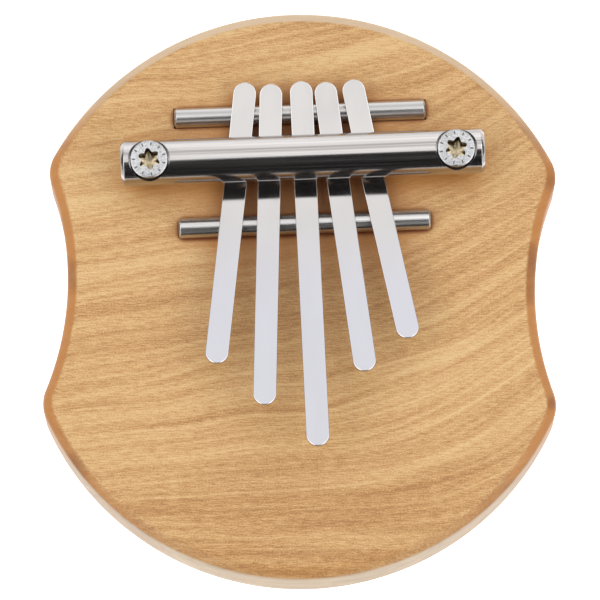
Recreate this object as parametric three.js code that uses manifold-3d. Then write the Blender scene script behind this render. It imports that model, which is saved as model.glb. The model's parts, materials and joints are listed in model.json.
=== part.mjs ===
// Mbira: a thumb piano with five steel tines clamped across a solid wooden board.
// Millimetres, +Z up. The board lies on its back, its underside is z = 0 and its outline is centred
// on the Z axis. +Y is the head end, where the tines are clamped, and -Y is the playing end.
import * as THREE from 'three';
import { mergeVertices } from 'three/addons/utils/BufferGeometryUtils.js';
import Module from 'manifold-3d';

const wasm = await Module();
wasm.setup();

// ---------------------------------------------------------------- driving dimensions

const BOARD = {
  thickness: 20,
  bevel: 2.2, // 45 degree bevel round both faces
  cornerRadius: 8.2,
  headArc: { x: 0.1, y: 0.77, radius: 63.2 },
  playingArc: { x: -0.15, y: -2.08, radius: 61.9 },
  waist: { x: 0.1, y: 1.85, halfWidth: 52, radius: 66 }, // hollow for the fingers on each side
};

// The clamped hardware sits as one group, slightly turned on the board. Its own frame has its
// origin on the clamp bar's centre and its X along the bar.
const HARDWARE = { x: 0.1, y: 29.1, turn: THREE.MathUtils.degToRad(2.75) };

// The tines bear on two rods, and each rod lies in a groove as long as itself. The front rod
// stands prouder than the rear one, which makes the playing ends rise.
const ROD = { radius: 2.25, length: 56.1, chamfer: 0.4 };
const REAR_ROD = { x: -0.2, y: 11.5, centreAboveFace: 0.15 };
const FRONT_ROD = { x: -0.05, y: -13.7, centreAboveFace: 1.35 };

const BAR = { radius: 5, length: 80.7, chamfer: 0.7 };

const SCREW = {
  spacing: 68, // centre to centre
  shankRadius: 2.5,
  headRadius: 4.25,
  headHeight: 5,
  headEdge: 0.35,
  length: 18, // under the head
  recessRadius: 2.1,
  recessLobe: 0.35,
  recessDepth: 2.6,
  counterboreRadius: 4.6,
  headBelowBarTop: 0.7,
};

const INSERT = { outerRadius: 3.3, length: 12, belowFace: 0.3, holeDepth: 14 };

const TINE = {
  width: 5.1,
  thickness: 0.9,
  dip: 1.27, // how far the clamp bar presses each tine below the line over the two rods
};

// One row per tine, from left to right seen from above: where it passes under the bar, its lean
// towards +X, and its lengths from the bar back to its root end and forward to its tip.
const TINES = [
  { x: -14.5, lean: -7.85, rear: 18.45, front: 46.6 },
  { x: -7.35, lean: -3.2, rear: 17.8, front: 56.2 },
  { x: 0.4, lean: 0.5, rear: 18.15, front: 66 },
  { x: 7.25, lean: 5.65, rear: 17.85, front: 49.45 },
  { x: 14.7, lean: 9.95, rear: 18.35, front: 42.55 },
];

const GAP = 0.3; // running clearance between neighbouring pieces
const ROUND_STEPS = 48; // facets round a rod, bar, screw or insert
const ARC_STEPS = 14; // each arc of the board's outline gets twice this many facets

// Heights worked out from the dimensions above.
const face = BOARD.thickness;
const tineOverRear = face + REAR_ROD.centreAboveFace + ROD.radius + GAP + TINE.thickness / 2;
const tineOverFront = face + FRONT_ROD.centreAboveFace + ROD.radius + GAP + TINE.thickness / 2;
const tineUnderBar = tineHeight(0, REAR_ROD.y, -FRONT_ROD.y);
const barCentre = tineUnderBar + TINE.thickness / 2 + GAP + BAR.radius;
const headTop = barCentre + BAR.radius - SCREW.headBelowBarTop;
const headSeat = headTop - SCREW.headHeight;

// ---------------------------------------------------------------- materials

const wood = () => new THREE.MeshStandardMaterial({ color: 0xcc9e66, roughness: 0.6, metalness: 0 });
const brushedSteel = () => new THREE.MeshStandardMaterial({ color: 0xb4b2b0, roughness: 0.3, metalness: 1 });
const tineSteel = () => new THREE.MeshStandardMaterial({ color: 0xdcdfe4, roughness: 0.15, metalness: 1 });
const screwSteel = () => new THREE.MeshStandardMaterial({ color: 0xc4c4c6, roughness: 0.4, metalness: 1 });
const brass = () => new THREE.MeshStandardMaterial({ color: 0xc9a354, roughness: 0.35, metalness: 1 });

// ---------------------------------------------------------------- solids

function toManifold(geometry) {
  const bare = geometry.clone();
  bare.deleteAttribute('normal');
  bare.deleteAttribute('uv');
  const merged = mergeVertices(bare, 1e-4);
  return new wasm.Manifold(
    new wasm.Mesh({
      numProp: 3,
      vertProperties: new Float32Array(merged.attributes.position.array),
      triVerts: new Uint32Array(merged.index.array),
    }),
  );
}

function toGeometry(manifold) {
  const mesh = manifold.getMesh();
  const geometry = new THREE.BufferGeometry();
  geometry.setAttribute('position', new THREE.BufferAttribute(new Float32Array(mesh.vertProperties), 3));
  geometry.setIndex(new THREE.BufferAttribute(new Uint32Array(mesh.triVerts), 1));
  geometry.computeVertexNormals();
  return geometry;
}

// A turned solid about the Z axis; the profile lists [radius, z] from one end on the axis to the other.
function turned(profile) {
  const points = profile.map(([radius, z]) => new THREE.Vector2(radius, z));
  return new THREE.LatheGeometry(points, ROUND_STEPS).rotateX(Math.PI / 2);
}

// A straight post about the Z axis, from one height to another.
function post(radius, bottom, top) {
  return turned([[0, bottom], [radius, bottom], [radius, top], [0, top]]);
}

// A round bar with chamfered ends, lying along X about its own centre.
function lyingBar(radius, length, chamfer) {
  const half = length / 2;
  return turned([
    [0, -half],
    [radius - chamfer, -half],
    [radius, chamfer - half],
    [radius, half - chamfer],
    [radius - chamfer, half],
    [0, half],
  ]).rotateY(Math.PI / 2);
}

// ---------------------------------------------------------------- board

// Centre of the hollow arc on the +X side (side 1) or the -X side (side -1).
function waistCentre(side) {
  const { waist } = BOARD;
  return new THREE.Vector2(waist.x + side * (waist.halfWidth + waist.radius), waist.y);
}

// Centre of the fillet between an end arc and a waist arc. end is 1 for the head end and -1 for the
// playing end.
function cornerCentre(arc, side, end) {
  const { waist, cornerRadius } = BOARD;
  const fromArc = arc.radius - cornerRadius;
  const fromWaist = waist.radius + cornerRadius;
  const across = waistCentre(side).sub(arc);
  const distance = across.length();
  const along = (fromArc ** 2 - fromWaist ** 2 + distance ** 2) / (2 * distance);
  const aside = Math.sqrt(fromArc ** 2 - along ** 2);
  const direction = across.normalize();
  const normal = new THREE.Vector2(-direction.y, direction.x).multiplyScalar(side * end);
  return new THREE.Vector2(arc.x, arc.y).addScaledVector(direction, along).addScaledVector(normal, aside);
}

function heading(from, to) {
  return Math.atan2(to.y - from.y, to.x - from.x);
}

// The outline, anticlockwise: the head end from +X to -X, a hollow waist, the playing end back to
// +X, and the other waist, with a rounded corner wherever two of these arcs meet.
function boardOutline() {
  const { headArc, playingArc, waist, cornerRadius } = BOARD;
  const shape = new THREE.Shape();
  for (const [arc, nextArc, end] of [[headArc, playingArc, 1], [playingArc, headArc, -1]]) {
    const first = cornerCentre(arc, end, end);
    const last = cornerCentre(arc, -end, end);
    const next = cornerCentre(nextArc, -end, -end);
    const [near, far] = [waistCentre(end), waistCentre(-end)];
    shape.absarc(first.x, first.y, cornerRadius, heading(first, near), heading(arc, first), false);
    shape.absarc(arc.x, arc.y, arc.radius, heading(arc, first), heading(arc, last), false);
    shape.absarc(last.x, last.y, cornerRadius, heading(arc, last), heading(last, far), false);
    shape.absarc(far.x, far.y, waist.radius, heading(far, last), heading(far, next), true);
  }
  // Two arcs that meet share an end point, and the bevel needs each point only once.
  const points = shape.getPoints(ARC_STEPS);
  return new THREE.Shape(points.filter((point, i) => point.distanceTo(points.at(i - 1)) > 0.01));
}

// Turns a solid made in the hardware's frame into the board's frame.
function inHardwareFrame(geometry) {
  return geometry.rotateZ(HARDWARE.turn).translate(HARDWARE.x, HARDWARE.y, 0);
}

function rodGroove(rod) {
  const cutter = lyingBar(ROD.radius + GAP, ROD.length + 2 * GAP, ROD.chamfer);
  return toManifold(inHardwareFrame(cutter.translate(rod.x, rod.y, face + rod.centreAboveFace)));
}

function insertHole(side) {
  const cutter = post(INSERT.outerRadius + GAP, face - INSERT.holeDepth, face + 1);
  return toManifold(inHardwareFrame(cutter.translate((side * SCREW.spacing) / 2, 0, 0)));
}

function soundboard() {
  const blank = new THREE.ExtrudeGeometry(boardOutline(), {
    depth: BOARD.thickness - 2 * BOARD.bevel,
    bevelThickness: BOARD.bevel,
    bevelSize: BOARD.bevel,
    bevelOffset: -BOARD.bevel,
    bevelSegments: 1,
  }).translate(0, 0, BOARD.bevel);
  const cuts = [rodGroove(REAR_ROD), rodGroove(FRONT_ROD), insertHole(-1), insertHole(1)];
  return toGeometry(cuts.reduce((solid, cut) => solid.subtract(cut), toManifold(blank)));
}

// ---------------------------------------------------------------- clamp

function bridgeRod() {
  return lyingBar(ROD.radius, ROD.length, ROD.chamfer);
}

function clampBar() {
  let bar = toManifold(lyingBar(BAR.radius, BAR.length, BAR.chamfer).translate(0, 0, barCentre));
  for (const side of [-1, 1]) {
    const x = (side * SCREW.spacing) / 2;
    const hole = post(SCREW.shankRadius + GAP, barCentre - 2 * BAR.radius, barCentre);
    const counterbore = post(SCREW.counterboreRadius, headSeat - GAP, barCentre + 2 * BAR.radius);
    bar = bar.subtract(toManifold(hole.translate(x, 0, 0)));
    bar = bar.subtract(toManifold(counterbore.translate(x, 0, 0)));
  }
  return toGeometry(bar);
}

// The six-lobed driver socket in the top of a screw head.
function driverSocket() {
  const steps = 60;
  const points = [];
  for (let i = 0; i < steps; i += 1) {
    const angle = (i / steps) * 2 * Math.PI;
    const radius = SCREW.recessRadius + SCREW.recessLobe * Math.cos(6 * angle);
    points.push(new THREE.Vector2(radius * Math.sin(angle), radius * Math.cos(angle)));
  }
  const depth = SCREW.recessDepth + 1;
  const socket = new THREE.ExtrudeGeometry(new THREE.Shape(points), { depth, bevelEnabled: false });
  return socket.translate(0, 0, headTop - SCREW.recessDepth);
}

function clampScrew() {
  const { shankRadius, headRadius, headEdge, length } = SCREW;
  const body = turned([
    [0, headSeat - length],
    [shankRadius - headEdge, headSeat - length],
    [shankRadius, headSeat - length + headEdge],
    [shankRadius, headSeat],
    [headRadius, headSeat],
    [headRadius, headTop - headEdge],
    [headRadius - headEdge, headTop],
    [0, headTop],
  ]);
  return toGeometry(toManifold(body).subtract(toManifold(driverSocket())));
}

function threadedInsert() {
  const top = face - INSERT.belowFace;
  const bottom = top - INSERT.length;
  const bore = SCREW.shankRadius + GAP;
  return turned([
    [bore, bottom],
    [INSERT.outerRadius, bottom],
    [INSERT.outerRadius, top],
    [bore, top],
    [bore, bottom],
  ]);
}

// ---------------------------------------------------------------- tines

// How far a springy strip on two supports has sunk where a bar presses it down between them, as a
// share of the dip under the bar. x runs from one support towards the bar, which is at a distance
// near from that support and far from the other. Past a support the strip runs on straight.
function sag(x, near, far) {
  const curve = near ** 2 + 2 * near * far - (x > 0 ? x ** 2 : 0);
  return (x * curve) / (2 * near ** 2 * far);
}

// Height of a tine's middle at a distance s along it, from the bar towards the tip. The spans are
// the distances from the bar to the rear and front rods along the tine.
function tineHeight(s, rearSpan, frontSpan) {
  const share = (s + rearSpan) / (rearSpan + frontSpan);
  const straight = THREE.MathUtils.lerp(tineOverRear, tineOverFront, share);
  const sunk = s < 0 ? sag(s + rearSpan, rearSpan, frontSpan) : sag(frontSpan - s, frontSpan, rearSpan);
  return straight - TINE.dip * sunk;
}

// A strip of spring steel between two places along the tine. Its local -Y runs towards the tip.
function tinePiece(tine, start, end) {
  const lean = Math.cos(THREE.MathUtils.degToRad(tine.lean));
  const rearSpan = REAR_ROD.y / lean;
  const frontSpan = -FRONT_ROD.y / lean;
  const steps = Math.ceil((end - start) / 2);
  const top = [];
  const bottom = [];
  for (let i = 0; i <= steps; i += 1) {
    const s = start + ((end - start) * i) / steps;
    const z = tineHeight(s, rearSpan, frontSpan);
    top.push(new THREE.Vector2(s, z + TINE.thickness / 2));
    bottom.unshift(new THREE.Vector2(s, z - TINE.thickness / 2));
  }
  // The bent strip starts wider than the tine, and a flat stencil then cuts its outline.
  const sheet = new THREE.ExtrudeGeometry(new THREE.Shape([...top, ...bottom]), {
    depth: 2 * TINE.width,
    bevelEnabled: false,
  });
  // Shape X becomes the tine's -Y, and shape Y becomes +Z.
  sheet.translate(0, 0, -TINE.width).rotateX(Math.PI / 2).rotateZ(-Math.PI / 2);

  const radius = TINE.width / 2;
  const plan = new THREE.Shape();
  plan.absarc(0, tine.rear - radius, radius, 0, Math.PI, false);
  plan.absarc(0, radius - tine.front, radius, Math.PI, 2 * Math.PI, false);
  const stencil = new THREE.ExtrudeGeometry(plan, { depth: 2 * face, bevelEnabled: false });
  return toGeometry(toManifold(sheet).intersect(toManifold(stencil)));
}

// Each tine is cut in two over the front rod, where its free tongue bends when it is plucked.
function tineRoot(tine) {
  const split = -FRONT_ROD.y / Math.cos(THREE.MathUtils.degToRad(tine.lean));
  return tinePiece(tine, -tine.rear - 1, split - GAP / 2);
}

function tineTongue(tine) {
  const split = -FRONT_ROD.y / Math.cos(THREE.MathUtils.degToRad(tine.lean));
  return tinePiece(tine, split + GAP / 2, tine.front + 1);
}

// ---------------------------------------------------------------- assembly

function addPiece(group, name, geometry, material) {
  const mesh = new THREE.Mesh(geometry, material);
  mesh.name = name;
  group.add(mesh);
  return mesh;
}

const mbira = new THREE.Group();
addPiece(mbira, 'soundboard', soundboard(), wood());

const hardware = new THREE.Group();
hardware.position.set(HARDWARE.x, HARDWARE.y, 0);
hardware.rotation.z = HARDWARE.turn;
mbira.add(hardware);

for (const [name, rod] of [['rear', REAR_ROD], ['front', FRONT_ROD]]) {
  const piece = addPiece(hardware, `${name}_bridge_rod`, bridgeRod(), brushedSteel());
  piece.position.set(rod.x, rod.y, face + rod.centreAboveFace);
}
addPiece(hardware, 'clamp_bar', clampBar(), brushedSteel());

for (const [side, name] of [[-1, 'left'], [1, 'right']]) {
  const x = (side * SCREW.spacing) / 2;
  addPiece(hardware, `clamp_screw_${name}`, clampScrew(), screwSteel()).position.x = x;
  addPiece(hardware, `threaded_insert_${name}`, threadedInsert(), brass()).position.x = x;
}

TINES.forEach((tine, index) => {
  const place = new THREE.Group();
  place.position.x = tine.x;
  place.rotation.z = THREE.MathUtils.degToRad(tine.lean);
  hardware.add(place);
  addPiece(place, `tine_${index + 1}_root`, tineRoot(tine), tineSteel());
  addPiece(place, `tine_${index + 1}_tongue`, tineTongue(tine), tineSteel());
});

export default mbira;
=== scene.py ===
import json
import math

import bmesh
import bpy
from mathutils import Matrix, Vector


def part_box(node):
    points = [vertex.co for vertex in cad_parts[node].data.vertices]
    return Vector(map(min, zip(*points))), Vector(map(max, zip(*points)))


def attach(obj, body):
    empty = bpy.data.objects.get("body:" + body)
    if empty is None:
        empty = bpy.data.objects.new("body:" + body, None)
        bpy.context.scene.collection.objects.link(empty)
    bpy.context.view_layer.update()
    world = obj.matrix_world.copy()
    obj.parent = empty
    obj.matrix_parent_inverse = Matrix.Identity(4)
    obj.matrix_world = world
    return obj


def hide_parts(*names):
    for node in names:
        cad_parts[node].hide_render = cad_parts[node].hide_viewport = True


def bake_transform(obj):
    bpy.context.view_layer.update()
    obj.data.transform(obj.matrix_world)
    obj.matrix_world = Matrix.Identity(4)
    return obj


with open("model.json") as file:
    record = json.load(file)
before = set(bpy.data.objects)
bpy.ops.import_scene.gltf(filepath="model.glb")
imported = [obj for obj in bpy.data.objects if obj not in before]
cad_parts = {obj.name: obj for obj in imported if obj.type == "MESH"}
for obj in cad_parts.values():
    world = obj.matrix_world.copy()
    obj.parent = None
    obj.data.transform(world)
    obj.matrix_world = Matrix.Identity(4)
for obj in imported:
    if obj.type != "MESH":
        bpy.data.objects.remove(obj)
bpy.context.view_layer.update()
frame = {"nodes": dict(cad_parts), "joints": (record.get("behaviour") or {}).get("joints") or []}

# ------------------------------------------------------------------ sizes that the looks add

MM = 0.001

# The board's outline is two large end arcs and two hollow waist arcs, joined by rounded corners.
HEAD_ARC = (Vector((0.1, 0.77)) * MM, 63.2 * MM)  # centre and radius
PLAYING_ARC = (Vector((-0.15, -2.08)) * MM, 61.9 * MM)
CORNER_RADIUS = 8.2 * MM
WAIST_MIDDLE = Vector((0.1, 1.85)) * MM
WAIST_HALF_WIDTH = 52 * MM
WAIST_RADIUS = 66 * MM
BEVEL = 2.2 * MM
FACE_INSET = BEVEL + 1.5 * MM  # where the board's two flat faces are closed
WOOD_EDGE = 0.75 * MM  # rounding of the bevel's edges by sanding

ROD_CHAMFER = 0.4 * MM
GROOVE_CLEARANCE = 0.06 * MM  # round a rod or an insert
GROOVE_EXTRA = 0.15 * MM  # beyond each end of a rod

BAR_CHAMFER = 0.7 * MM
BAR_EDGE = 0.12 * MM
BORE_EDGE = 0.2 * MM
COUNTERBORE_RADIUS = 4.6 * MM
SHANK_RADIUS = 2.5 * MM

HEAD_RADIUS = 4.25 * MM
HEAD_HEIGHT = 5 * MM
HEAD_EDGE = 0.35 * MM
SOCKET_RADIUS = 2.1 * MM
SOCKET_LOBE = 0.38 * MM
SOCKET_DEPTH = 4 * MM
HEAD_MARKS = 11
MARK_SIZE = (0.16 * MM, 0.42 * MM, 0.2 * MM)  # half width, half length and depth
MARK_SHIFT = 0.25 * MM  # outward from the middle of the head's rim
# The socket's dished floor from its middle out: share of its radius, height, and depth of the lobes.
SOCKET_FLOOR = [
    (0.1, -0.35 * MM, 0),
    (0.35, -0.3 * MM, 0),
    (0.7, -0.12 * MM, 0.1 * MM),
    (0.93, 0, SOCKET_LOBE),
    (1, 0.15 * MM, SOCKET_LOBE),
]

TINE_WIDTH = 5.1 * MM
TINE_THICKNESS = 0.9 * MM
TINE_EDGE = 0.16 * MM
CLEARANCE = 0.3 * MM
TINE_LIFT = 0.05 * MM  # a little more room over the front rod, for tuning

ROUND_STEPS = 96
TINE_COUNT = 5
GLOW_EDGE = (0.075, 0.11)  # where the table's glow fades out

# ------------------------------------------------------------------ where the frame says things are

joints = {joint["name"]: joint for joint in frame["joints"]}


def box_centre(node):
    low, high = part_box(node)
    return (low + high) / 2


def bar_turn():
    """Angle of the clamp bar about Z, from one screw's axis to the other's."""
    left = Vector(joints["screw_left_turn"]["pos_m"])
    right = Vector(joints["screw_right_turn"]["pos_m"])
    return math.atan2(right.y - left.y, right.x - left.x)


TURN = bar_turn()
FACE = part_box("soundboard")[1].z
BAR_LOW, BAR_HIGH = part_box("clamp_bar")
BAR_RADIUS = (BAR_HIGH.z - BAR_LOW.z) / 2
BAR_CENTRE = box_centre("clamp_bar")


def lying_length(node, radius):
    """Length of a round bar that lies turned by TURN, from its box."""
    low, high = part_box(node)
    return (high.x - low.x - 2 * radius * math.sin(TURN)) / math.cos(TURN)


# ------------------------------------------------------------------ mesh helpers


def new_object(name, mesh, material):
    piece = bpy.data.objects.new(name, mesh)
    bpy.context.scene.collection.objects.link(piece)
    mesh.materials.append(material)
    return piece


def finish_mesh(mesh, angle=35):
    """Points the faces outward and smooths every edge flatter than the angle."""
    work = bmesh.new()
    work.from_mesh(mesh)
    bmesh.ops.remove_doubles(work, verts=work.verts, dist=1e-7)
    bmesh.ops.recalc_face_normals(work, faces=work.faces)
    work.to_mesh(mesh)
    work.free()
    for polygon in mesh.polygons:
        polygon.use_smooth = True
    mesh.set_sharp_from_angle(angle=math.radians(angle))


def lofted(name, rings, material, angle=35):
    """A closed solid through rings of equal point counts, with its first and last ring capped."""
    count = len(rings[0])
    vertices = [point for ring in rings for point in ring]
    faces = [list(range(count)), list(range((len(rings) - 1) * count, len(rings) * count))]
    for level in range(len(rings) - 1):
        for i in range(count):
            j = (i + 1) % count
            low, high = level * count, (level + 1) * count
            faces.append((low + i, low + j, high + j, high + i))
    mesh = bpy.data.meshes.new(name)
    mesh.from_pydata([tuple(v) for v in vertices], [], faces)
    finish_mesh(mesh, angle)
    return new_object(name, mesh, material)


def rounded(corners, radius, steps=3):
    """A profile with each inner corner replaced by a short curve that starts radius away from it."""
    points = [Vector(corners[0])]
    for before, corner, after in zip(corners, corners[1:], corners[2:]):
        corner = Vector(corner)
        start = corner + (Vector(before) - corner).normalized() * radius
        end = corner + (Vector(after) - corner).normalized() * radius
        for step in range(steps + 1):
            t = step / steps
            points.append(start * (1 - t) ** 2 + corner * 2 * t * (1 - t) + end * t**2)
    points.append(Vector(corners[-1]))
    return points


def circle(radius, height, steps=ROUND_STEPS):
    angles = [2 * math.pi * i / steps for i in range(steps)]
    return [Vector((radius * math.cos(a), radius * math.sin(a), height)) for a in angles]


def turned(name, profile, material, matrix, steps=ROUND_STEPS):
    """A round solid from a profile of (radius, height) pairs, placed by a matrix."""
    piece = lofted(name, [circle(radius, height, steps) for radius, height in profile], material)
    piece.data.transform(matrix)
    return piece


def cut(piece, cutters):
    """Takes each cutter out of the piece and deletes the cutter."""
    for cutter in cutters:
        modifier = piece.modifiers.new("cut", "BOOLEAN")
        modifier.operation = "DIFFERENCE"
        modifier.solver = "EXACT"
        modifier.object = cutter
    apply_modifiers(piece)
    for cutter in cutters:
        bpy.data.objects.remove(cutter)


def apply_modifiers(piece):
    graph = bpy.context.evaluated_depsgraph_get()
    mesh = bpy.data.meshes.new_from_object(piece.evaluated_get(graph))
    piece.modifiers.clear()
    piece.data = mesh


def bevel_edges(piece, width, angle=30, smooth=12):
    """Gives every edge sharper than the angle a bevel of one width all along."""
    modifier = piece.modifiers.new("edges", "BEVEL")
    modifier.offset_type = "WIDTH"
    modifier.width = width
    modifier.segments = 2
    modifier.limit_method = "ANGLE"
    modifier.angle_limit = math.radians(angle)
    apply_modifiers(piece)
    finish_mesh(piece.data, smooth)


def lying_bar_matrix(centre):
    """Turns a solid made along Z so that it lies along the clamp bar's direction."""
    lie_down = Matrix.Rotation(math.pi / 2, 4, "Y")
    return Matrix.Translation(centre) @ Matrix.Rotation(TURN, 4, "Z") @ lie_down


def upright_matrix(x, y):
    return Matrix.Translation((x, y, 0)) @ Matrix.Rotation(TURN, 4, "Z")


# ------------------------------------------------------------------ node helpers


class Nodes:
    """Short calls that add nodes to a tree. A value is either a socket or a plain number or colour."""

    def __init__(self, tree):
        self.tree = tree
        tree.nodes.clear()

    def plug(self, socket, value):
        if isinstance(value, bpy.types.NodeSocket):
            self.tree.links.new(value, socket)
        else:
            socket.default_value = value

    def coordinates(self, kind="Object"):
        return self.tree.nodes.new("ShaderNodeTexCoord").outputs[kind]

    def stretch(self, vector, scale, turn=0.0, shift=(0, 0, 0)):
        """Coordinates turned by turn degrees about Z, shifted and then scaled, in features per metre."""
        node = self.tree.nodes.new("ShaderNodeMapping")
        node.vector_type = "POINT"
        node.inputs["Rotation"].default_value = (0, 0, math.radians(turn))
        node.inputs["Location"].default_value = shift
        self.plug(node.inputs["Vector"], vector)
        scaled = self.tree.nodes.new("ShaderNodeVectorMath")
        scaled.operation = "MULTIPLY"
        self.plug(scaled.inputs[0], node.outputs[0])
        scaled.inputs[1].default_value = scale
        return scaled.outputs[0]

    def noise(self, vector, detail=3.0, roughness=0.5, distortion=0.0):
        node = self.tree.nodes.new("ShaderNodeTexNoise")
        self.plug(node.inputs["Vector"], vector)
        node.inputs["Scale"].default_value = 1.0
        node.inputs["Detail"].default_value = detail
        node.inputs["Roughness"].default_value = roughness
        node.inputs["Distortion"].default_value = distortion
        return node.outputs["Fac"]

    def occlusion(self, reach):
        """How open the surface is to its surroundings within reach: 1 in the open, 0 in a closed corner."""
        node = self.tree.nodes.new("ShaderNodeAmbientOcclusion")
        node.samples = 12
        node.inputs["Distance"].default_value = reach
        return node.outputs["AO"]

    def math(self, operation, *values):
        node = self.tree.nodes.new("ShaderNodeMath")
        node.operation = operation
        for socket, value in zip(node.inputs, values):
            self.plug(socket, value)
        return node.outputs[0]

    def spread(self, value, low, high, to_low=0.0, to_high=1.0):
        """Maps low..high to to_low..to_high smoothly, clamped."""
        node = self.tree.nodes.new("ShaderNodeMapRange")
        node.interpolation_type = "SMOOTHSTEP"
        self.plug(node.inputs["Value"], value)
        node.inputs["From Min"].default_value = low
        node.inputs["From Max"].default_value = high
        node.inputs["To Min"].default_value = to_low
        node.inputs["To Max"].default_value = to_high
        return node.outputs["Result"]

    def weighted(self, start, *terms):
        """start plus the sum of weight times (noise minus its middle value), for (noise, weight) terms."""
        total = start
        for value, weight in terms:
            total = self.math("MULTIPLY_ADD", self.math("SUBTRACT", value, 0.5), weight, total)
        return total

    def mix(self, factor, a, b):
        node = self.tree.nodes.new("ShaderNodeMix")
        node.data_type = "RGBA"
        for name, value in (("Factor_Float", factor), ("A_Color", a), ("B_Color", b)):
            socket = next(socket for socket in node.inputs if socket.identifier == name)
            self.plug(socket, value)
        return node.outputs[2]

    def ramp(self, factor, stops):
        """A colour from a 0..1 factor, by (position, linear colour) stops."""
        node = self.tree.nodes.new("ShaderNodeValToRGB")
        elements = node.color_ramp.elements
        while len(elements) < len(stops):
            elements.new(0.5)
        for element, (position, colour) in zip(elements, stops):
            element.position = position
            element.color = (*colour, 1.0)
        self.plug(node.inputs[0], factor)
        return node.outputs["Color"]

    def parts(self, vector):
        node = self.tree.nodes.new("ShaderNodeSeparateXYZ")
        self.plug(node.inputs[0], vector)
        return node.outputs

    def join(self, x, y, z):
        node = self.tree.nodes.new("ShaderNodeCombineXYZ")
        for socket, value in zip(node.inputs, (x, y, z)):
            self.plug(socket, value)
        return node.outputs[0]


class Shader(Nodes):
    """A material with one Principled surface."""

    def __init__(self, name):
        self.material = bpy.data.materials.new(name)
        self.material.use_nodes = True
        super().__init__(self.material.node_tree)
        output = self.tree.nodes.new("ShaderNodeOutputMaterial")
        self.surface = self.tree.nodes.new("ShaderNodeBsdfPrincipled")
        self.tree.links.new(self.surface.outputs[0], output.inputs["Surface"])

    def set(self, name, value):
        self.plug(self.surface.inputs[name], value)

    def bump(self, height, distance, strength):
        node = self.tree.nodes.new("ShaderNodeBump")
        node.inputs["Strength"].default_value = strength
        node.inputs["Distance"].default_value = distance
        self.plug(node.inputs["Height"], height)
        self.set("Normal", node.outputs[0])


def rgb(red, green, blue):
    """A colour socket's value from linear parts."""
    return (red, green, blue, 1.0)


# ------------------------------------------------------------------ materials

# The face's linear colours, from its darkest wood to its lightest.
WOOD_COLOURS = [
    (0.0, (0.35, 0.163, 0.050)),
    (0.3, (0.48, 0.261, 0.093)),
    (0.5, (0.548, 0.317, 0.126)),
    (0.7, (0.60, 0.376, 0.162)),
    (1.0, (0.66, 0.453, 0.219)),
]


def along_grain(s, place):
    """Coordinates that follow the streaks: they climb to the right and level out at the playing end."""
    x, y, z = s.parts(place)
    right = s.math("MAXIMUM", x, 0.0)
    climb = s.math("MULTIPLY_ADD", s.math("MULTIPLY", right, right), 4.5, s.math("MULTIPLY", x, 0.17))
    climb = s.math("MULTIPLY", climb, s.spread(y, -68 * MM, -12 * MM, 0.1, 1.0))
    drift = s.noise(s.stretch(place, (26, 40, 40)), detail=1)
    across = s.math("MULTIPLY_ADD", drift, 6 * MM, s.math("SUBTRACT", y, climb))
    return s.join(x, across, z)


def wood_noises(s, place):
    """The figure of the wood, from broad bands down to fine specks."""
    grain = along_grain(s, place)
    return {
        "growth": s.noise(s.stretch(grain, (5, 150, 60)), detail=1),
        "bands": s.noise(s.stretch(grain, (9, 120, 60)), detail=2),
        "streaks": s.noise(s.stretch(grain, (13, 460, 200)), detail=2, roughness=0.6),
        "threads": s.noise(s.stretch(grain, (50, 1250, 700)), detail=2, roughness=0.6),
        "fibres": s.noise(s.stretch(place, (380, 3300, 3000)), detail=2, roughness=0.7),
        "specks": s.noise(s.stretch(place, (2600, 3800, 3000)), detail=1),
        "clouds": s.noise(s.stretch(place, (24, 34, 30)), detail=2),
        "pores": s.noise(s.stretch(place, (500, 3600, 3600)), detail=1),
        "blotch": s.noise(s.stretch(place, (70, 95, 60)), detail=2),
    }


def wood_tone(s, place, noises):
    """How light the face is, from 0 to 1: a little darker on the right and at the playing end's tip."""
    x, y, _ = s.parts(place)
    fine = s.weighted(0.0, (noises["threads"], 0.7), (noises["fibres"], 1.55), (noises["specks"], 1.1))
    broad = s.weighted(0.47, (noises["bands"], 0.75), (noises["streaks"], 0.85), (noises["clouds"], 0.3))
    tone = s.math("ADD", fine, broad)
    # Thin light growth lines, a few millimetres apart.
    off_line = s.math("ABSOLUTE", s.math("SUBTRACT", noises["growth"], 0.5))
    tone = s.math("MULTIPLY_ADD", s.spread(off_line, 0.0, 0.035, 1.0, 0.0), 0.22, tone)
    tone = s.math("MULTIPLY_ADD", x, -1.0, tone)
    return s.math("ADD", tone, s.spread(y, -64 * MM, -34 * MM, -0.26, 0.0))


def wood_face(s, place, noises, pores):
    """The playing face's golden wood, with its short open pores."""
    colour = s.ramp(wood_tone(s, place, noises), WOOD_COLOURS)
    return s.mix(s.math("MULTIPLY", pores, 0.3), colour, rgb(0.25, 0.11, 0.04))


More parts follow.
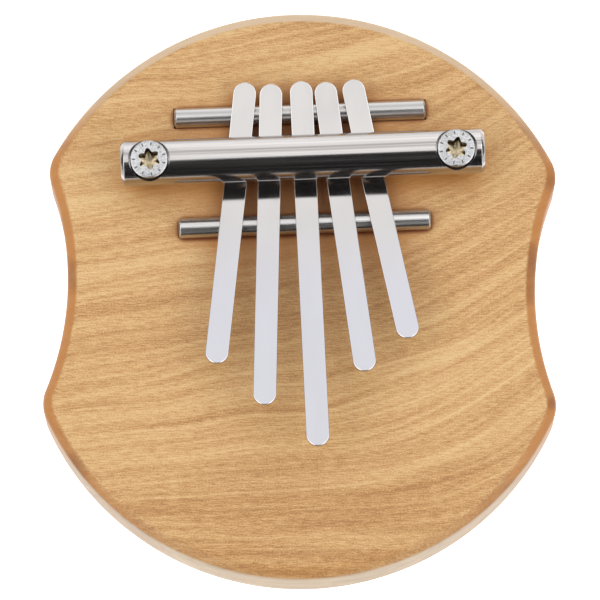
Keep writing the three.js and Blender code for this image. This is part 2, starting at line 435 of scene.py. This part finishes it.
def wood_edges(s, noises, colour):
    """The walls and rims: end grain takes more of the finish, the walls along the grain and the head end's
    rim are painted paler as a painted sheen, and the playing end's rim is darker.
    """
    facing_x, facing_y, facing_z = s.parts(s.coordinates("Normal"))

    # End grain, where the outline faces along the fibres, takes more of the finish.
    end_grain = s.spread(s.math("ABSOLUTE", facing_x), 0.28, 0.68)
    blotch = s.spread(noises["blotch"], 0.48, 0.72)
    stained = s.mix(blotch, rgb(0.47, 0.185, 0.044), rgb(0.26, 0.080, 0.018))
    colour = s.mix(s.math("MULTIPLY", end_grain, 0.85), colour, stained)

    # The walls along the grain are painted paler than the playing face: a painted sheen standing in for the
    # bright floor's light and reflection on them.
    upright = s.spread(facing_z, 0.3, 0.6, 1.0, 0.0)
    painted_wall_sheen = s.math("MULTIPLY", upright, s.spread(s.math("ABSOLUTE", facing_y), 0.3, 0.65))
    layers = s.weighted(0.5, (noises["bands"], 0.8), (noises["streaks"], 1.0), (noises["threads"], 0.6))
    pale = s.mix(s.spread(layers, 0.1, 0.9), rgb(0.34, 0.228, 0.125), rgb(0.48, 0.368, 0.235))
    colour = s.mix(s.math("MULTIPLY", painted_wall_sheen, 0.85), colour, pale)

    # The head end's rim is painted paler too, a painted reflection of the bright light over that end, and
    # the playing end's rim is darker and redder.
    off_face = s.spread(facing_z, 0.9, 0.99, 1.0, 0.0)
    painted_head_rim_sheen = s.math("MULTIPLY", off_face, s.spread(facing_y, 0.3, 0.6))
    colour = s.mix(s.math("MULTIPLY", painted_head_rim_sheen, 0.8), colour, rgb(0.63, 0.475, 0.325))
    playing_rim = s.math("MULTIPLY", off_face, s.spread(facing_y, -0.6, -0.3, 1.0, 0.0))
    playing_rim = s.math("MULTIPLY", playing_rim, s.spread(facing_z, 0.3, 0.6))
    return s.mix(s.math("MULTIPLY", playing_rim, 0.22), colour, rgb(0.34, 0.155, 0.05))


def painted_shade_near_hardware(s, place, colour):
    """Painted shade: the wood is painted darker and redder where it is closed in, in the grooves, beside the
    rods and bar and under the tines; also gives how much of that shade there is.
    """
    height = s.parts(place)[2]
    near_face = s.spread(height, FACE - 8 * MM, FACE - 5 * MM)
    open_sky = s.occlusion(8 * MM)
    # Painted shade: a broad orange-red darkening wherever the wood near the face is closed in within 8 mm.
    painted_warm_shade = s.math("MULTIPLY", s.spread(open_sky, 0.4, 0.97, 0.9, 0.0), near_face)
    colour = s.mix(painted_warm_shade, colour, rgb(0.51, 0.20, 0.04))
    # Painted shade: a dark red-brown in tight corners and in the most closed-in places.
    corner = s.spread(s.occlusion(1.5 * MM), 0.5, 0.92, 0.95, 0.0)
    hollow = s.spread(open_sky, 0.12, 0.46, 0.9, 0.0)
    painted_contact_shade = s.math("MULTIPLY", s.math("MAXIMUM", corner, hollow), near_face)
    return s.mix(painted_contact_shade, colour, rgb(0.17, 0.036, 0.005)), painted_contact_shade


def wood_material():
    """Light golden hardwood under a thin satin coat, with its streaks along X."""
    s = Shader("board_wood")
    place = s.coordinates()
    noises = wood_noises(s, place)
    fibres = noises["fibres"]
    pores = s.spread(noises["pores"], 0.64, 0.74)
    colour = wood_edges(s, noises, wood_face(s, place, noises, pores))
    # The wood with its painted shade by the hardware; the shade's share also makes the wood rougher there.
    colour, painted_contact_shade = painted_shade_near_hardware(s, place, colour)
    s.set("Base Color", colour)
    s.set("Roughness", s.math("MULTIPLY_ADD", painted_contact_shade, 0.35, s.spread(fibres, 0.2, 0.8, 0.36, 0.5)))
    s.set("Specular IOR Level", 0.45)
    s.bump(s.math("MULTIPLY_ADD", pores, -1.5, fibres), 0.02 * MM, 0.4)
    return s.material


def steel_material(name, dark, bright, roughness, across, turn):
    """Round steel stock with brush lines along it. turn is its direction about Z, in degrees."""
    s = Shader(name)
    place = s.coordinates()
    shift = (0, 1.2 * MM, -0.75 * MM)  # picks which of the noise's lines fall on the bar
    lines = s.noise(s.stretch(place, (14, across, across), -turn, shift), detail=3, roughness=0.7)
    bands = s.noise(s.stretch(place, (4, across / 3, across / 3), -turn, shift), detail=1)
    tone = s.weighted(0.5, (lines, 1.7), (bands, 1.5))
    s.set("Base Color", s.mix(s.spread(tone, 0.0, 1.0), rgb(*dark), rgb(*bright)))
    s.set("Metallic", 1.0)
    s.set("Roughness", s.spread(lines, 0.25, 0.75, roughness * 0.7, roughness * 1.3))
    s.bump(lines, 0.004 * MM, 0.6)
    return s.material


def tine_material():
    """Bright polished spring steel, painted a touch cooler in its free half as a painted reflection of the
    cooler light there, with the faintest rolling marks.
    """
    s = Shader("tine_steel")
    place = s.coordinates()
    y = s.parts(place)[1]
    marks = s.noise(s.stretch(place, (900, 60, 900)), detail=2)
    smear = s.noise(s.stretch(place, (160, 50, 160)), detail=3)
    # Painted reflection: the free half is coloured cooler, standing in for the bluish light that it
    # reflects.
    free = s.spread(y, -5 * MM, 20 * MM, 1.0, 0.0)
    steel = s.mix(free, rgb(0.62, 0.60, 0.59), rgb(0.61, 0.605, 0.655))
    s.set("Base Color", s.mix(s.spread(smear, 0.3, 0.7, 0.0, 0.12), steel, rgb(0.47, 0.455, 0.46)))
    s.set("Metallic", 1.0)
    s.set("Roughness", s.spread(smear, 0.3, 0.7, 0.07, 0.11))
    s.bump(marks, 0.002 * MM, 0.3)
    return s.material


def screw_material():
    """Stainless screw with a bead-blasted face, a painted golden reflection low in the head and socket, and
    painted shade on its upright faces, chiefly the socket's walls.
    """
    s = Shader("screw_steel")
    place = s.coordinates()
    height = s.parts(place)[2]
    facing_z = s.parts(s.coordinates("Normal"))[2]
    grit = s.noise(s.stretch(place, (2600, 2600, 2600)), detail=2)
    head_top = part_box("clamp_screw_left")[1].z
    face = s.mix(s.spread(grit, 0.35, 0.65), rgb(0.40, 0.40, 0.405), rgb(0.56, 0.56, 0.57))
    sunk = s.spread(height, head_top - 0.16 * MM, head_top - 0.07 * MM, 1.0, 0.0)
    marked = s.math("MULTIPLY", sunk, s.spread(facing_z, 0.9, 0.98))
    colour = s.mix(marked, face, rgb(0.14, 0.135, 0.13))
    # Painted reflection: everything more than a millimetre under the head's top, the socket's floor most of
    # all, is painted golden for the light it reflects.
    painted_golden_reflection = s.spread(height, head_top - 1.6 * MM, head_top - MM, 1.0, 0.0)
    colour = s.mix(painted_golden_reflection, colour, rgb(0.52, 0.43, 0.28))
    # Painted shade: the upright faces, chiefly the socket's walls, are painted nearly black.
    upright = s.spread(facing_z, 0.1, 0.4, 1.0, 0.0)
    s.set("Base Color", s.mix(upright, colour, rgb(0.07, 0.055, 0.04)))
    s.set("Metallic", 1.0)
    s.set("Roughness", s.spread(grit, 0.3, 0.7, 0.26, 0.42))
    s.bump(grit, 0.02 * MM, 0.35)
    return s.material


def brass_material():
    """Turned brass with fine rings round its axis."""
    s = Shader("insert_brass")
    rings = s.noise(s.stretch(s.coordinates(), (200, 200, 6000)), detail=2)
    s.set("Base Color", s.mix(rings, rgb(0.55, 0.37, 0.12), rgb(0.75, 0.55, 0.24)))
    s.set("Metallic", 1.0)
    s.set("Roughness", 0.34)
    s.bump(rings, 0.01 * MM, 0.5)
    return s.material


def floor_material():
    """A pale matt table that glows around the object, like a lit product table."""
    s = Shader("pale_floor")
    x, y, _ = s.parts(s.coordinates())
    away = s.math("SQRT", s.math("MULTIPLY_ADD", x, x, s.math("MULTIPLY", y, y)))
    s.set("Base Color", rgb(0.8, 0.8, 0.8))
    s.set("Roughness", 0.9)
    s.set("Emission Color", rgb(1.0, 1.0, 1.0))
    s.set("Emission Strength", s.spread(away, *GLOW_EDGE, 0.75, 0.0))
    return s.material


# ------------------------------------------------------------------ board


def waist_centre(side):
    return WAIST_MIDDLE + Vector((side * (WAIST_HALF_WIDTH + WAIST_RADIUS), 0))


def corner_centre(arc, side, end):
    """Centre of the fillet between an end arc and a waist arc. end is 1 for the head, -1 for the other."""
    centre, radius = arc
    from_arc = radius - CORNER_RADIUS
    from_waist = WAIST_RADIUS + CORNER_RADIUS
    across = waist_centre(side) - centre
    along = (from_arc**2 - from_waist**2 + across.length_squared) / (2 * across.length)
    aside = math.sqrt(from_arc**2 - along**2)
    direction = across.normalized()
    return centre + direction * along + Vector((-direction.y, direction.x)) * side * end * aside


def heading(start, end):
    return math.atan2(end.y - start.y, end.x - start.x)


def arc_points(centre, radius, start, end, steps, clockwise=False):
    """Points along an arc, without its last one."""
    sweep = (end - start) % (2 * math.pi) - (2 * math.pi if clockwise else 0)
    angles = [start + sweep * i / steps for i in range(steps)]
    return [(centre.x + radius * math.cos(a), centre.y + radius * math.sin(a)) for a in angles]


def board_ring(inset, height):
    """The outline moved inward by inset, anticlockwise from the corner at the head's +X side."""
    outline = []
    for arc, next_arc, end in ((HEAD_ARC, PLAYING_ARC, 1), (PLAYING_ARC, HEAD_ARC, -1)):
        centre, radius = arc
        first = corner_centre(arc, end, end)
        last = corner_centre(arc, -end, end)
        following = corner_centre(next_arc, -end, -end)
        near, far = waist_centre(end), waist_centre(-end)
        corner, waist = CORNER_RADIUS - inset, WAIST_RADIUS + inset
        outline += arc_points(first, corner, heading(first, near), heading(centre, first), 14)
        outline += arc_points(centre, radius - inset, heading(centre, first), heading(centre, last), 96)
        outline += arc_points(last, corner, heading(centre, last), heading(last, far), 14)
        outline += arc_points(far, waist, heading(far, last), heading(far, following), 32, clockwise=True)
    return [Vector((x, y, height)) for x, y in outline]


def rod_cutter(node):
    low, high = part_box(node)
    radius = (high.z - low.z) / 2
    half = lying_length(node, radius) / 2 + GROOVE_EXTRA
    radius += GROOVE_CLEARANCE
    return turned("groove", [(radius, -half), (radius, half)], wood, lying_bar_matrix(box_centre(node)))


def insert_cutter(side):
    node = f"threaded_insert_{side}"
    low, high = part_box(node)
    centre = box_centre(node)
    radius = (high.x - low.x) / 2 + GROOVE_CLEARANCE
    matrix = upright_matrix(centre.x, centre.y)
    return turned("hole", [(radius, low.z - 2 * MM), (radius, FACE + MM)], wood, matrix)


def build_board():
    """The wooden board with its bevels, the rods' grooves and the inserts' holes."""
    corners = [(FACE_INSET, 0), (BEVEL, 0), (0, BEVEL), (0, FACE - BEVEL), (BEVEL, FACE), (FACE_INSET, FACE)]
    profile = rounded(corners, WOOD_EDGE)
    board = lofted("board", [board_ring(inset, height) for inset, height in profile], wood, angle=50)
    rods = [rod_cutter("rear_bridge_rod"), rod_cutter("front_bridge_rod")]
    cut(board, rods + [insert_cutter("left"), insert_cutter("right")])
    finish_mesh(board.data, angle=50)
    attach(board, "board")
    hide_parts("soundboard")


# ------------------------------------------------------------------ rods, bar, screws and inserts


def bar_profile(radius, length, chamfer, edge):
    half = length / 2
    corners = [(0.5 * radius, -half), (radius - chamfer, -half), (radius, chamfer - half),
               (radius, half - chamfer), (radius - chamfer, half), (0.5 * radius, half)]
    return rounded(corners, edge)


def build_rod(name, node):
    low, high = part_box(node)
    radius = (high.z - low.z) / 2
    profile = bar_profile(radius, lying_length(node, radius), ROD_CHAMFER, 0.1 * MM)
    rod = turned(name, profile, rod_steel, lying_bar_matrix(box_centre(node)))
    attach(rod, "board")
    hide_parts(node)


def screw_place(side):
    x, y, _ = joints[f"screw_{side}_turn"]["pos_m"]
    return x, y


def build_bar():
    length = lying_length("clamp_bar", BAR_RADIUS)
    profile = bar_profile(BAR_RADIUS, length, BAR_CHAMFER, BAR_EDGE)
    screw_reach = (Vector(screw_place("right")) - Vector(screw_place("left"))).length / 2
    # Rings beside the counterbores keep the plain lengths of the bar out of the cuts.
    sides = [screw_reach + side * (COUNTERBORE_RADIUS + 0.6 * MM) for side in (-1, 1)]
    rings = [(BAR_RADIUS, place) for place in (-sides[1], -sides[0], sides[0], sides[1])]
    middle = len(profile) // 2
    profile = profile[:middle] + rings + profile[middle:]
    bar = turned("round_clamp_bar", profile, bar_steel, lying_bar_matrix(BAR_CENTRE), steps=288)
    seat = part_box("clamp_screw_left")[1].z - HEAD_HEIGHT - CLEARANCE
    cutters = []
    for side in ("left", "right"):
        matrix = upright_matrix(*screw_place(side))
        bore = [(SHANK_RADIUS + CLEARANCE, BAR_LOW.z - MM), (SHANK_RADIUS + CLEARANCE, seat + MM)]
        counterbore = [(COUNTERBORE_RADIUS, seat), (COUNTERBORE_RADIUS, BAR_HIGH.z + MM)]
        cutters.append(turned("bore", bore, bar_steel, matrix))
        cutters.append(turned("counterbore", counterbore, bar_steel, matrix))
    cut(bar, cutters)
    bevel_edges(bar, BORE_EDGE)
    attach(bar, "clamp")
    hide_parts("clamp_bar")


def socket_ring(scale, height, lobe, steps=120):
    """A six-lobed ring about Z."""
    points = []
    for i in range(steps):
        angle = 2 * math.pi * i / steps
        radius = (SOCKET_RADIUS + lobe * math.cos(6 * angle)) * scale
        points.append(Vector((radius * math.sin(angle), radius * math.cos(angle), height)))
    return points


def socket_cutter(top):
    floor = top - SOCKET_DEPTH
    rings = [socket_ring(scale, floor + height, lobe) for scale, height, lobe in SOCKET_FLOOR]
    rings.append(socket_ring(1, top + MM, SOCKET_LOBE))
    return lofted("socket", rings, screw_steel)


def mark_cutter(number, top):
    """One of the plain ticks round the head's face."""
    mark = turned("mark", [(1, -1), (1, 1)], screw_steel, Matrix.Diagonal((*MARK_SIZE, 1)), steps=12)
    turn = Matrix.Rotation(2 * math.pi * (number + 0.5) / HEAD_MARKS, 4, "Z")
    place = Matrix.Translation((0, (HEAD_RADIUS + SOCKET_RADIUS) / 2 + MARK_SHIFT, top))
    mark.data.transform(turn @ place)
    return mark


def build_screw(side, socket_turn):
    """A cylinder-head screw with a six-lobed socket, turned by socket_turn degrees."""
    node = f"clamp_screw_{side}"
    low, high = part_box(node)
    top = high.z
    seat = top - HEAD_HEIGHT
    matrix = upright_matrix(*screw_place(side))
    corners = [(0.3 * MM, low.z), (SHANK_RADIUS, low.z), (SHANK_RADIUS, seat), (HEAD_RADIUS, seat),
               (HEAD_RADIUS, top), (SOCKET_RADIUS, top)]
    screw = turned(f"screw_{side}", rounded(corners, HEAD_EDGE), screw_steel, matrix)
    cutters = [socket_cutter(top)] + [mark_cutter(number, top) for number in range(HEAD_MARKS)]
    spin = Matrix.Rotation(math.radians(socket_turn) - TURN, 4, "Z")
    for cutter in cutters:
        cutter.data.transform(matrix @ spin)
    cut(screw, cutters)
    finish_mesh(screw.data)
    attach(screw, f"screw_{side}")
    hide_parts(node)


def finish_inserts():
    for side in ("left", "right"):
        node = frame["nodes"][f"threaded_insert_{side}"]
        node.data.materials.clear()
        node.data.materials.append(brass)


# ------------------------------------------------------------------ tines


def meeting(start, direction, line_point):
    """How far from start along direction a line parallel to the bar through line_point is met."""
    bar_x, bar_y = math.cos(TURN), math.sin(TURN)
    apart = line_point - start
    return (apart.x * bar_y - apart.y * bar_x) / (direction.x * bar_y - direction.y * bar_x)


def reach(node, start, direction):
    """How far the CAD node reaches from start along direction, seen from above."""
    flat = Vector((direction.x, direction.y, 0))
    return max((vertex.co - start).dot(flat) for vertex in frame["nodes"][node].data.vertices)


def sag(x, near, far):
    """Share of the dip under the bar at a distance x from one support towards the bar.

    near and far are the bar's distances from that support and the other one. Past a support the
    strip runs on straight.
    """
    return x * (near**2 + 2 * near * far - max(x, 0) ** 2) / (2 * near**2 * far)


def strip_heights(hinge, forward):
    """The function that gives a tine's middle height at a distance s ahead of the clamp bar."""
    front = meeting(hinge, -forward, BAR_CENTRE)
    rear = meeting(hinge, -forward, box_centre("rear_bridge_rod")) - front
    over_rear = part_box("rear_bridge_rod")[1].z + CLEARANCE + TINE_THICKNESS / 2
    over_front = hinge.z + TINE_LIFT
    under_bar = BAR_LOW.z - CLEARANCE - TINE_THICKNESS / 2

    def straight(s):
        return over_rear + (over_front - over_rear) * (s + rear) / (rear + front)

    dip = straight(0) - under_bar

    def height(s):
        sunk = sag(s + rear, rear, front) if s < 0 else sag(front - s, front, rear)
        return straight(s) - dip * sunk

    return height, front


def tine_outline(rear, front, inset):
    """The +X half of a tine's outline from the rear end to the tip, as (across, along) pairs."""
    half = TINE_WIDTH / 2
    radius = half - inset
    cap, side = 14, 40
    points = []
    for i in range(cap):
        angle = math.pi / 2 * i / cap
        points.append((radius * math.sin(angle), -rear + half - radius * math.cos(angle)))
    for i in range(side + 1):
        points.append((radius, -rear + half + (front + rear - 2 * half) * i / side))
    for i in range(1, cap + 1):
        angle = math.pi / 2 * i / cap
        points.append((radius * math.cos(angle), front - half + radius * math.sin(angle)))
    return points


def tine_section():
    """Half a tine's edge from its lower face to its upper face, as (inset, height) pairs."""
    half = TINE_THICKNESS / 2
    corners = [(1.5 * TINE_EDGE, -half), (0, -half), (0, half), (1.5 * TINE_EDGE, half)]
    return rounded(corners, TINE_EDGE, steps=4)


def tine_mesh(name, rear, front, place):
    """A flat strip with round ends and rounded edges, with each point then put in its bent place."""
    vertices = []
    halves = []
    for inset, height in tine_section():
        outline = tine_outline(rear, front, inset)
        right = []
        left = []
        for index, (across, along) in enumerate(outline):
            right.append(len(vertices))
            vertices.append(place(across, along, height))
            if index in (0, len(outline) - 1):
                left.append(right[-1])
            else:
                left.append(len(vertices))
                vertices.append(place(-across, along, height))
        halves.append((right, left))
    faces = []
    for (right, left), (right_up, left_up) in zip(halves, halves[1:]):
        for i in range(len(right) - 1):
            faces.append((right[i], right[i + 1], right_up[i + 1], right_up[i]))
            faces.append((left[i], left_up[i], left_up[i + 1], left[i + 1]))
    for right, left in (halves[0], halves[-1]):
        for i in range(len(right) - 1):
            corners = dict.fromkeys((left[i], left[i + 1], right[i + 1], right[i]))
            faces.append(tuple(corners))
    mesh = bpy.data.meshes.new(name)
    mesh.from_pydata(vertices, [], faces)
    finish_mesh(mesh, angle=60)
    return mesh


def build_tine(number):
    """One spring-steel strip, in one piece over its CAD root and tongue."""
    name = f"tine_{number}"
    forward = Vector(joints[f"{name}_tune"]["axis"])
    hinge = Vector(joints[f"{name}_pluck"]["pos_m"])
    sideways = Vector(joints[f"{name}_pluck"]["axis"])
    height, to_hinge = strip_heights(hinge, forward)
    under_bar = hinge - forward * to_hinge
    rear = reach(f"{name}_root", under_bar, -forward)
    front = reach(f"{name}_tongue", under_bar, forward)
    step = 0.1 * MM  # for the slope of the strip's middle line

    def place(across, along, up):
        middle = height(along)
        slope = math.atan((height(along + step) - height(along - step)) / (2 * step))
        point = under_bar + sideways * across + forward * (along - up * math.sin(slope))
        point.z = middle + up * math.cos(slope)
        return point

    strip = new_object(f"{name}_strip", tine_mesh(name, rear, front, place), tine_steel)
    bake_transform(strip)
    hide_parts(f"{name}_root", f"{name}_tongue")


# ------------------------------------------------------------------ stage, light and camera


FLOOR_RADIUS = 0.35
FLOOR_DROP = 0.02 * MM  # keeps the floor clear of the board's underside
FLOOR_OVERLAP = 3 * MM


def build_floor():
    """A round floor, open under the board so that the underside can be looked at."""
    opening = board_ring(BEVEL + FLOOR_OVERLAP, -FLOOR_DROP)
    count = len(opening)
    outside = []
    for point in opening:
        flat = Vector((point.x, point.y, 0)).normalized() * FLOOR_RADIUS
        outside.append(flat + Vector((0, 0, -FLOOR_DROP)))
    faces = [(i, count + i, count + (i + 1) % count, (i + 1) % count) for i in range(count)]
    mesh = bpy.data.meshes.new("floor")
    mesh.from_pydata([tuple(point) for point in opening + outside], [], faces)
    floor = new_object("floor", mesh, floor_material())


# Brightness of the surroundings by the angle from straight up in degrees, positive towards the head
# end: a narrow lamp over the head end, a long dark flag in front of the playing end, and what is
# beside the two, with a bright box on each side of the flag.
SKY_MIDDLE = [(-180, 0.04), (-92, 0.02), (-60, 0.014), (-12, 0.032), (-3.4, 0.055), (-1.4, 1.26), (14, 1.2),
              (28, 1.19), (33, 1.17), (40, 1.0), (48, 1.12), (60, 1.32), (80, 1.35), (92, 1.35), (130, 0.9),
              (180, 0.5)]
SKY_BESIDE = [(-180, 0.4), (-100, 0.8), (-75, 2.1), (-12, 2.55), (4, 2.4), (24, 2.1), (40, 0.8), (60, 0.55),
              (90, 0.75), (180, 0.4)]
# How far along the bar's direction these reach, as parts of a direction.
FLAG_EDGE = (0.28, 0.38)
LAMP_EDGE = (0.13, 0.26)
BOX_EDGE = (0.74, 0.88)
FAR_LEVEL = 0.12  # what is left of the light beyond the boxes


def sky_level(nodes, share, levels):
    return nodes.ramp(share, [((angle + 180) / 360, (level, level, level)) for angle, level in levels])


def build_sky():
    """Studio surroundings, turned so that they line up with the clamp bar."""
    world = bpy.data.worlds.new("studio")
    bpy.context.scene.world = world
    world.use_nodes = True
    nodes = Nodes(world.node_tree)
    direction = nodes.stretch(nodes.coordinates("Generated"), (1, 1, 1), turn=-math.degrees(TURN))
    along, towards_head, up = nodes.parts(direction)
    share = nodes.math("MULTIPLY_ADD", nodes.math("ARCTAN2", towards_head, up), 0.5 / math.pi, 0.5)
    sideways = nodes.math("ABSOLUTE", along)
    on_lamp_side = nodes.spread(towards_head, -0.1, 0.1)
    beside = nodes.mix(on_lamp_side, nodes.spread(sideways, *FLAG_EDGE), nodes.spread(sideways, *LAMP_EDGE))
    level = nodes.mix(beside, sky_level(nodes, share, SKY_MIDDLE), sky_level(nodes, share, SKY_BESIDE))
    background = nodes.tree.nodes.new("ShaderNodeBackground")
    nodes.plug(background.inputs["Color"], level)
    nodes.plug(background.inputs["Strength"], nodes.spread(sideways, *BOX_EDGE, 1.0, FAR_LEVEL))
    output = nodes.tree.nodes.new("ShaderNodeOutputWorld")
    nodes.plug(output.inputs["Surface"], background.outputs[0])


CAMERA_DISTANCE = 1.4996
CAMERA_TILT = 10.42  # degrees off straight down, towards the playing end
CAMERA_SWING = 0.61  # degrees round the object
CAMERA_LENS = 405.3
CAMERA_AIM = Vector((-0.17 * MM, -1.58 * MM, FACE))


def build_camera():
    """A long lens almost straight above, looking from the playing end."""
    data = bpy.data.cameras.new("camera")
    data.lens = CAMERA_LENS
    data.sensor_width = 36
    data.clip_end = 20
    camera = bpy.data.objects.new("camera", data)
    bpy.context.scene.collection.objects.link(camera)
    tilt, swing = math.radians(CAMERA_TILT), math.radians(CAMERA_SWING)
    back = Vector((math.sin(swing) * math.sin(tilt), -math.cos(swing) * math.sin(tilt), math.cos(tilt)))
    camera.location = CAMERA_AIM + back * CAMERA_DISTANCE
    camera.rotation_mode = "QUATERNION"
    camera.rotation_quaternion = (-back).to_track_quat("-Z", "Y")
    bpy.context.scene.camera = camera


# ------------------------------------------------------------------ everything

bpy.context.scene.view_settings.view_transform = "Standard"

turn_degrees = math.degrees(TURN)
wood = wood_material()
bar_steel = steel_material("bar_steel", (0.42, 0.395, 0.385), (0.67, 0.645, 0.635), 0.16, 1800, turn_degrees)
rod_steel = steel_material("rod_steel", (0.47, 0.46, 0.455), (0.68, 0.67, 0.665), 0.27, 2600, turn_degrees)
tine_steel = tine_material()
screw_steel = screw_material()
brass = brass_material()

build_camera()
build_floor()
build_sky()
build_board()
build_rod("rod_rear", "rear_bridge_rod")
build_rod("rod_front", "front_bridge_rod")
build_bar()
build_screw("left", 10)
build_screw("right", -9)
finish_inserts()
for tine_number in range(1, TINE_COUNT + 1):
    build_tine(tine_number)
